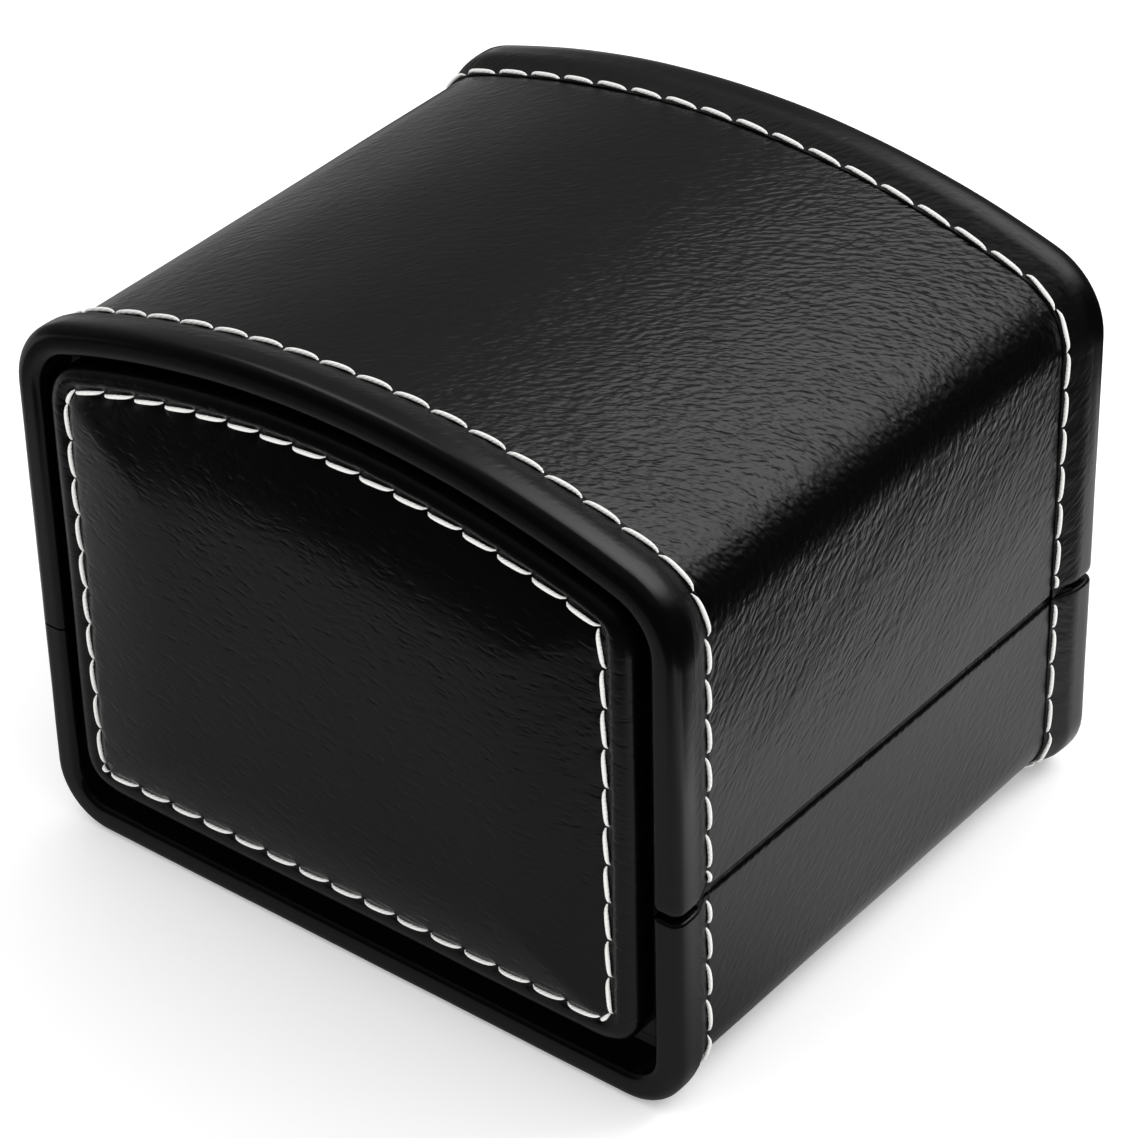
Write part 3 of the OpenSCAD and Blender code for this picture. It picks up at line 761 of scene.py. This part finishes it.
def sewing():
    """One bent thread on every point, turned to its seam and as long as its stitch."""
    t = bpy.data.node_groups.new("sew_thread", "GeometryNodeTree")
    for n, kind, value in (("Geometry", "NodeSocketGeometry", None),
                           ("Thread Radius", "NodeSocketFloat", THREAD / 2 * MM),
                           ("Rise", "NodeSocketFloat", 0.28 * MM),
                           ("Bow", "NodeSocketFloat", 0.12 * MM),
                           ("Seed", "NodeSocketInt", 7),
                           ("Material", "NodeSocketMaterial", None)):
        s = t.interface.new_socket(n, in_out="INPUT", socket_type=kind)
        if value is not None:
            s.default_value = value
    t.interface.new_socket("Geometry", in_out="OUTPUT", socket_type="NodeSocketGeometry")
    i, o = t.nodes.new("NodeGroupInput"), t.nodes.new("NodeGroupOutput")

    def field(name, kind):
        return put(t, "GeometryNodeInputNamedAttribute", {"Name": name},
                   data_type=kind).outputs["Attribute"]

    thread = bent_thread(t, *(i.outputs[k] for k in ("Rise", "Bow", "Thread Radius")))
    turn = put(t, "FunctionNodeAxesToRotation", {"Primary Axis": field("along", "FLOAT_VECTOR"),
                                                 "Secondary Axis": field("out", "FLOAT_VECTOR")},
               primary_axis="X", secondary_axis="Z")
    vary = put(t, "FunctionNodeRandomValue", {2: 0.985, 3: 1.01, "Seed": i.outputs["Seed"]},
               data_type="FLOAT")
    length = maths(t, "MULTIPLY", field("run", "FLOAT"), vary.outputs[1])
    size = put(t, "ShaderNodeCombineXYZ", {"X": length, "Y": field("flip", "FLOAT"), "Z": 1})
    last = put(t, "GeometryNodeMeshToPoints", {0: i.outputs["Geometry"]})
    for kind, into in (("InstanceOnPoints", {"Instance": round_body(t, thread),
                                             "Rotation": turn.outputs[0],
                                             "Scale": size.outputs[0]}),
                       ("RealizeInstances", {}), ("SetShadeSmooth", {}),
                       ("SetMaterial", {"Material": i.outputs["Material"]})):
        last = put(t, "GeometryNode" + kind, {0: last.outputs[0], **into})
    t.links.new(last.outputs[0], o.inputs["Geometry"])
    return t


SEWING = sewing()
print("stitch tree:", len(SEWING.nodes), "nodes")


# %% Bake a row of stitches
def sew(name, rows, body, replaces, rise=0.28, bow=0.12, seed=7):
    """rows: (x, y, z, along, out, length in mm, flip). Returns a plain mesh object."""
    me = bpy.data.meshes.new(name + "_places")
    me.from_pydata([(r[0] * MM, (r[1] - SHIFT) * MM, r[2] * MM) for r in rows], [], [])
    for key, kind, col in (("along", "FLOAT_VECTOR", 3), ("out", "FLOAT_VECTOR", 4)):
        a = me.attributes.new(key, kind, "POINT")
        a.data.foreach_set("vector", np.array([r[col] for r in rows], np.float32).ravel())
    for key, values in (("run", [r[5] * MM for r in rows]), ("flip", [r[6] for r in rows])):
        a = me.attributes.new(key, "FLOAT", "POINT")
        a.data.foreach_set("value", np.array(values, np.float32))
    source = bpy.data.objects.new(name + "_places", me)
    bpy.context.scene.collection.objects.link(source)
    mod = source.modifiers.new("sew", "NODES")
    mod.node_group = SEWING
    ids = {s.name: s.identifier for s in SEWING.interface.items_tree
           if s.item_type == "SOCKET" and s.in_out == "INPUT"}
    mod[ids["Rise"]] = rise * MM
    mod[ids["Bow"]] = bow * MM
    mod[ids["Seed"]] = seed
    mod[ids["Material"]] = THREAD_WHITE
    dg = bpy.context.evaluated_depsgraph_get()
    done = bpy.data.meshes.new_from_object(source.evaluated_get(dg), depsgraph=dg)
    done.name = name
    bpy.data.objects.remove(source)
    bm = bmesh.new()
    bm.from_mesh(done)
    bmesh.ops.recalc_face_normals(bm, faces=bm.faces)
    bm.to_mesh(done)
    bm.free()
    ob = bpy.data.objects.new(name, done)
    bpy.context.scene.collection.objects.link(ob)
    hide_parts(replaces)
    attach(ob, body)
    print(name, len(rows), "stitches", len(done.polygons), "faces")
    return ob


# %% Stitches on the flanges
def flange_rows(path, side, first, short):
    """Stitch places along a run: one short stitch at the seam, then even ones to the back."""
    pitch = even_pitch(path, first)
    count = round((measured(path)[-1] - first - LAST_HOLE) / pitch)
    spots = [short] + [(first + pitch * (k + 0.5), pitch) for k in range(count)]
    lift = 0.26
    up = 1 if path is LID_PATH else -1
    rows = []
    for s, run in spots:
        y, z, ny, nz = at_distance(path, s)
        y0, z0 = at_distance(path, s - 0.5)[:2]
        y1, z1 = at_distance(path, s + 0.5)[:2]
        n = math.hypot(y1 - y0, z1 - z0)
        along = (up * side * SLANT, (y1 - y0) / n, (z1 - z0) / n)
        rows.append((side * STITCH_X, y + lift * ny, z + lift * nz, along, (0, ny, nz), run,
                     side * up))
    return rows


SUNK = 0.28
for end, side in (("left", -1), ("right", 1)):
    sew(f"lid_stitches_{end}", flange_rows(LID_PATH, side, FIRST_LID, (2.3, 1.9)), "lid",
        f"lid_stitching_{end}", seed=11 + side)
    sew(f"base_stitches_{end}", flange_rows(BASE_PATH, side, FIRST_BASE, (2.9, 4.0)), "base",
        f"base_stitching_{end}", seed=21 + side)
    sew(f"end_stitches_{end}",
        [(side * (SEWN_X - SUNK), y, z, (0, ty, tz), (side, 0, 0), n, side)
         for y, z, ty, tz, n, _, _ in PANEL_STITCHES], "lid", f"end_stitching_{end}",
        bow=0.1, seed=31 + side)


# %% [markdown]
# ## The cushion
# Foam in a velvet cover with a seam round its middle. Sculpting could give its soft faces, but
# cloth does it by itself: we start from a rounded block a little smaller than the real one,
# let the cloth solver inflate it, cap how far a point may have moved, and pinch the seam.

# %% Cushion by cloth simulation
def pillow():
    """The cushion; sizes in metres."""
    slack, cap, steps, seam_depth, seam_width = (0.0032, 0.0032, 0.0030), 0.0045, 20, 0.04, 0.002
    lo, hi = (Vector(c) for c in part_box("watch_cushion"))
    centre, size = (lo + hi) / 2, (hi - lo)
    bm = bmesh.new()
    bmesh.ops.create_cube(bm, size=1.0)
    bmesh.ops.subdivide_edges(bm, edges=bm.edges[:], cuts=13, use_grid_fill=True)
    half = size / 2 - Vector(slack)
    for v in bm.verts:
        p = v.co * 2
        r = (abs(p.x) ** 5 + abs(p.y) ** 5 + abs(p.z) ** 5) ** 0.2
        q = p / max(r, 1e-6)
        v.co = Vector((q.x * half.x, q.y * half.y, q.z * half.z))
    me = bpy.data.meshes.new("watch_cushion_velvet")
    bm.to_mesh(me)
    bm.free()
    ob = bpy.data.objects.new("watch_cushion_velvet", me)
    bpy.context.scene.collection.objects.link(ob)
    start = [v.co.copy() for v in me.vertices]
    cloth = ob.modifiers.new("inflate", "CLOTH")
    feel = cloth.settings
    feel.use_pressure, feel.uniform_pressure_force = True, 4.0
    feel.tension_stiffness = feel.compression_stiffness = 12
    feel.bending_stiffness = 0.3
    feel.effector_weights.gravity = 0
    cloth.collision_settings.use_collision = False
    for f in range(1, steps + 1):
        bpy.context.scene.frame_set(f)
    dg = bpy.context.evaluated_depsgraph_get()
    blown = ob.evaluated_get(dg).to_mesh()
    moved = [v.co.copy() for v in blown.vertices]
    ob.evaluated_get(dg).to_mesh_clear()
    ob.modifiers.clear()
    bpy.context.scene.frame_set(1)
    far = 0.0
    for v, a, b in zip(me.vertices, start, moved):
        d = b - a
        far = max(far, d.length)
        if d.length > cap:
            d *= cap / d.length
        v.co = a + d
    print("cushion: largest move %.1f mm before the cap" % (far * 1000))
    top = size / 2
    for v in me.vertices:
        for k in range(3):
            if abs(v.co[k]) > top[k]:
                v.co[k] = math.copysign(top[k], v.co[k])
        pinch = 1 - seam_depth * math.exp(-(v.co.z / seam_width) ** 2)
        v.co.x, v.co.y = v.co.x * pinch, v.co.y * pinch
        v.co += centre
    sub = ob.modifiers.new("soften", "SUBSURF")
    sub.levels = sub.render_levels = 2
    for p in me.polygons:
        p.use_smooth = True
    ob.data.materials.append(CUSHION)
    return ob


cushion = pillow()
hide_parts("watch_cushion")
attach(cushion, "base")

# %% [markdown]
# ## Finishes for the parts that keep their solid shape
# Boards, linings, hinge leaves, pins and screws already have the right form. Building them
# again would only bring in errors, so they get their finish, by the slot in the record.

# %% Dress the solid parts
BY_SLOT = {"core_board": BOARD, "grained_leather": HIDE, "rim_leather": RIM_HIDE,
           "lining_velvet": LINING, "cushion_velvet": CUSHION, "sewing_thread": THREAD_WHITE,
           "hinge_brass": BRASS, "plain_steel": STEEL}
slot_of = {s["node"]: s["material_slot"] for s in frame["record"]["subparts"]}
for node, ob in frame["nodes"].items():
    for s in ob.material_slots:
        s.material = BY_SLOT[slot_of[node]]
print("solid parts dressed:", len(frame["nodes"]))

# %% [markdown]
# ## The studio
# Black leather shows what it reflects more than its own colour. White walls and one soft light
# make the table pale, but real cards and lamps would light the table too. So what the leather
# mirrors is painted: a dome that only reflections see, with a dark horizon and one broad soft
# box, and a dark card on the table that only reflections see, which paints shade into the
# table's mirror image.


# %% Floor, lights and flags
def studio_material(name, color, glow=0.0):
    """A flat paint that mirrors nothing and may glow white."""
    m = bpy.data.materials.new(name)
    m.use_nodes = True
    for k, v in (("Base Color", (*color, 1)), ("Roughness", 0.9), ("Specular IOR Level", 0.0),
                 ("Emission Color", (1, 1, 1, 1)), ("Emission Strength", glow)):
        m.node_tree.nodes["Principled BSDF"].inputs[k].default_value = v
    return m


def only_mirrored(ob):
    """Hides a prop from everything but reflections."""
    ob.visible_camera = ob.visible_diffuse = ob.visible_shadow = False
    ob.visible_transmission = ob.visible_volume_scatter = False


def floor():
    r = 1.6
    ob = mesh_object("studio_floor", [(-r, -r, 0), (r, -r, 0), (r, r, 0), (-r, r, 0)],
                     [(0, 1, 2, 3)], smooth=False)
    ob.data.materials.append(studio_material("floor_paper", (0.93, 0.93, 0.93), glow=0.2))


def key_light(place, target, size, power):
    data = bpy.data.lights.new("key_softbox", "AREA")
    data.shape, data.size, data.size_y, data.energy = "RECTANGLE", size, size, power
    ob = bpy.data.objects.new("key_softbox", data)
    ob.location = place
    ob.rotation_euler = (Vector(target) - Vector(place)).to_track_quat("-Z", "Y").to_euler()
    ob.visible_glossy = False
    bpy.context.scene.collection.objects.link(ob)


def painted_table_shade():
    """A card just over the table that only reflections see: painted shade that dims the table's
    mirror image away from the box.

    It covers less in a square round the box, least to the right of the box in the picture,
    and all of the table from there on. lean grows to the right in the picture, and ahead is
    the distance in front of the box.
    """
    radius, height, n = 0.9, 0.0007, 64
    rim = [(radius * math.cos(2 * math.pi * k / n), radius * math.sin(2 * math.pi * k / n), height)
           for k in range(n)]
    ob = mesh_object("painted_table_shade", [(0, 0, height)] + rim,
                     [(0, 1 + k, 1 + (k + 1) % n) for k in range(n)], smooth=False)
    # painted shade: a near-black paint that only reflections see, laid over the table's mirror
    # image
    m = studio_material("painted_table_shade_black", (0.01, 0.01, 0.01))
    ob.data.materials.append(m)
    t = m.node_tree
    where = put(t, "ShaderNodeTexCoord").outputs["Object"]
    x, y, _ = put(t, "ShaderNodeSeparateXYZ", {0: where}).outputs
    r = maths(t, "SQRT", maths(t, "ADD", maths(t, "MULTIPLY", x, x), maths(t, "MULTIPLY", y, y)))
    right = maths(t, "SUBTRACT", maths(t, "MULTIPLY", x, 0.777), maths(t, "MULTIPLY", y, 0.63))
    lean = maths(t, "DIVIDE", right, maths(t, "MAXIMUM", r, 0.01))
    wide = maths(t, "ABSOLUTE", x)
    ahead = maths(t, "MULTIPLY", y, ramp(t, x, -0.04, 0.03, -0.66, -1.0))
    square = maths(t, "MAXIMUM", maths(t, "MULTIPLY", wide, 0.72),
                   maths(t, "MAXIMUM", ahead, maths(t, "MULTIPLY", y, 0.72)))
    near = maths(t, "ADD", ramp(t, lean, -0.5, -0.05, 0.79, 0.77),
                 ramp(t, lean, 0.1, 0.75, 0.0, -0.37))
    near = maths(t, "SUBTRACT", near, ramp(t, ahead, 0.072, 0.088, 0.0, 0.30))
    cover = maths(t, "MULTIPLY_ADD", maths(t, "SUBTRACT", 1.0, near),
                  ramp(t, square, 0.089, 0.100, 0.0, 1.0), near)
    behind = ramp(t, maths(t, "SUBTRACT", y, wide), 0.02, 0.08, 1.0, 0.7)
    mix = put(t, "ShaderNodeMixShader", {"Fac": maths(t, "MULTIPLY", cover, behind),
                                         1: put(t, "ShaderNodeBsdfTransparent").outputs[0],
                                         2: t.nodes["Principled BSDF"].outputs[0]})
    t.links.new(mix.outputs[0], t.nodes["Material Output"].inputs["Surface"])
    only_mirrored(ob)


def dome(name, radius, low, rings, n):
    """A dome from low degrees under the horizon up to the zenith."""
    v, f = [], []
    for i in range(rings + 1):
        e = math.radians(low + (90 - low) * i / rings)
        for k in range(n):
            a = math.radians(360 / n * k)
            v.append((radius * math.cos(e) * math.cos(a), radius * math.cos(e) * math.sin(a),
                      radius * math.sin(e)))
    for i in range(rings):
        for k in range(n):
            a, b = i * n + k, i * n + (k + 1) % n
            f.append((a, b, b + n, a + n))
    return mesh_object(name, v, f)


def painted_dome():
    """What the leather mirrors: a dark horizon, a dim ceiling, a broad soft box and a small one."""
    ob = dome("painted_dome", 0.9, -5, 16, 48)
    m = studio_material("dome_paint", (0, 0, 0))
    t = m.node_tree
    where = put(t, "ShaderNodeTexCoord").outputs["Object"]
    look = vectors(t, "NORMALIZE", where, {})
    x, y, z = put(t, "ShaderNodeSeparateXYZ", {0: look}).outputs
    side = maths(t, "ADD", maths(t, "MULTIPLY", x, 0.634), maths(t, "MULTIPLY", y, 0.734))
    rear = maths(t, "MULTIPLY_ADD", maths(t, "MAXIMUM", side, 0.0), 0.195, 0.012)
    rise = ramp(t, z, 0.5, 0.8, 0.0, 0.06)
    rim = maths(t, "MULTIPLY", ramp(t, z, 0.0, 0.24, 1.0, 0.0), ramp(t, side, 0.85, 1.0, 0.0, 1.0))
    box = ramp(t, y, 0.04, 0.40, 2.25, 0.0)
    for axis, a, b, c, d in ((y, -0.68, -0.38, 0.0, 1.0), (x, 0.62, 0.77, 1.0, 0.0),
                             (x, 0.25, 0.45, 0.0, 1.0), (z, 0.15, 0.35, 0.0, 1.0)):
        box = maths(t, "MULTIPLY", box, ramp(t, axis, a, b, c, d))
    toward = put(t, "ShaderNodeVectorMath", {0: look, 1: Vector((0.15, 0.51, 0.85)).normalized()},
                 operation="DOT_PRODUCT").outputs["Value"]
    wide, narrow = (math.cos(math.radians(a)) for a in (15, 4))
    small = ramp(t, toward, wide, narrow, 0.0, 1.3)
    light = maths(t, "ADD", maths(t, "ADD", rear, rise),
                  maths(t, "ADD", rim, maths(t, "ADD", box, small)))
    glow = put(t, "ShaderNodeEmission", {"Strength": light})
    t.links.new(glow.outputs[0], t.nodes["Material Output"].inputs["Surface"])
    ob.data.materials.append(m)
    only_mirrored(ob)


def studio_room():
    """White walls light the table and the thread; reflections don't see them."""
    world = bpy.data.worlds.new("studio_room")
    bpy.context.scene.world = world
    world.use_nodes = True
    plain = world.node_tree.nodes["Background"]
    plain.inputs["Color"].default_value = (1, 1, 1, 1)
    plain.inputs["Strength"].default_value = 1.12
    world.cycles_visibility.glossy = False


floor()
painted_table_shade()
painted_dome()
studio_room()
key_light((0.45, -0.35, 0.6), (0, 0, 0.04), 0.35, 2.0)
print("studio: floor, painted_table_shade, painted_dome, studio_room, key_softbox")

# %% [markdown]
# ## The camera
# The camera could be turned by hand until the box looks right, but that never settles. Here it
# was fitted to the photograph: the stitch lines, the seam and the outline of the box give its
# direction, distance, lens and the slight roll of the picture.

# %% Camera at the photograph's angle
AZ, EL, ROLL = math.radians(-50.99), math.radians(35.28), math.radians(-1.39)
# the fit's own unit in metres, the focal length and the picture's width in pixels, the sensor
UNIT, FOCAL, PHOTO, SENSOR = 0.95 * MM, 4518.44, 1138, 36
# in the fit's unit: the camera's distance from its target, and the target's place
DISTANCE, AIM_RIGHT, AIM_UP = 622.96, 0.11, 36.36
back = Vector((math.sin(AZ) * math.cos(EL), -math.cos(AZ) * math.cos(EL), math.sin(EL)))
right = Vector((math.cos(AZ), math.sin(AZ), 0))
up = back.cross(right)
target = right * AIM_RIGHT * UNIT + Vector((0, -SHIFT * MM, AIM_UP * UNIT + PROUD * MM))
data = bpy.data.cameras.new("photo_camera")
data.sensor_width = SENSOR
data.lens = FOCAL / PHOTO * SENSOR
data.clip_start, data.clip_end = 0.01, 20
camera = bpy.data.objects.new("photo_camera", data)
r2 = right * math.cos(ROLL) + up * math.sin(ROLL)
u2 = -right * math.sin(ROLL) + up * math.cos(ROLL)
place = Matrix((r2, u2, back)).transposed().to_4x4()
place.translation = target + back * DISTANCE * UNIT
camera.matrix_world = place
bpy.context.scene.collection.objects.link(camera)
bpy.context.scene.camera = camera
bpy.context.scene.view_settings.view_transform = "Standard"
print("lens %.1f mm, distance %.0f mm" % (data.lens, DISTANCE * UNIT / MM))
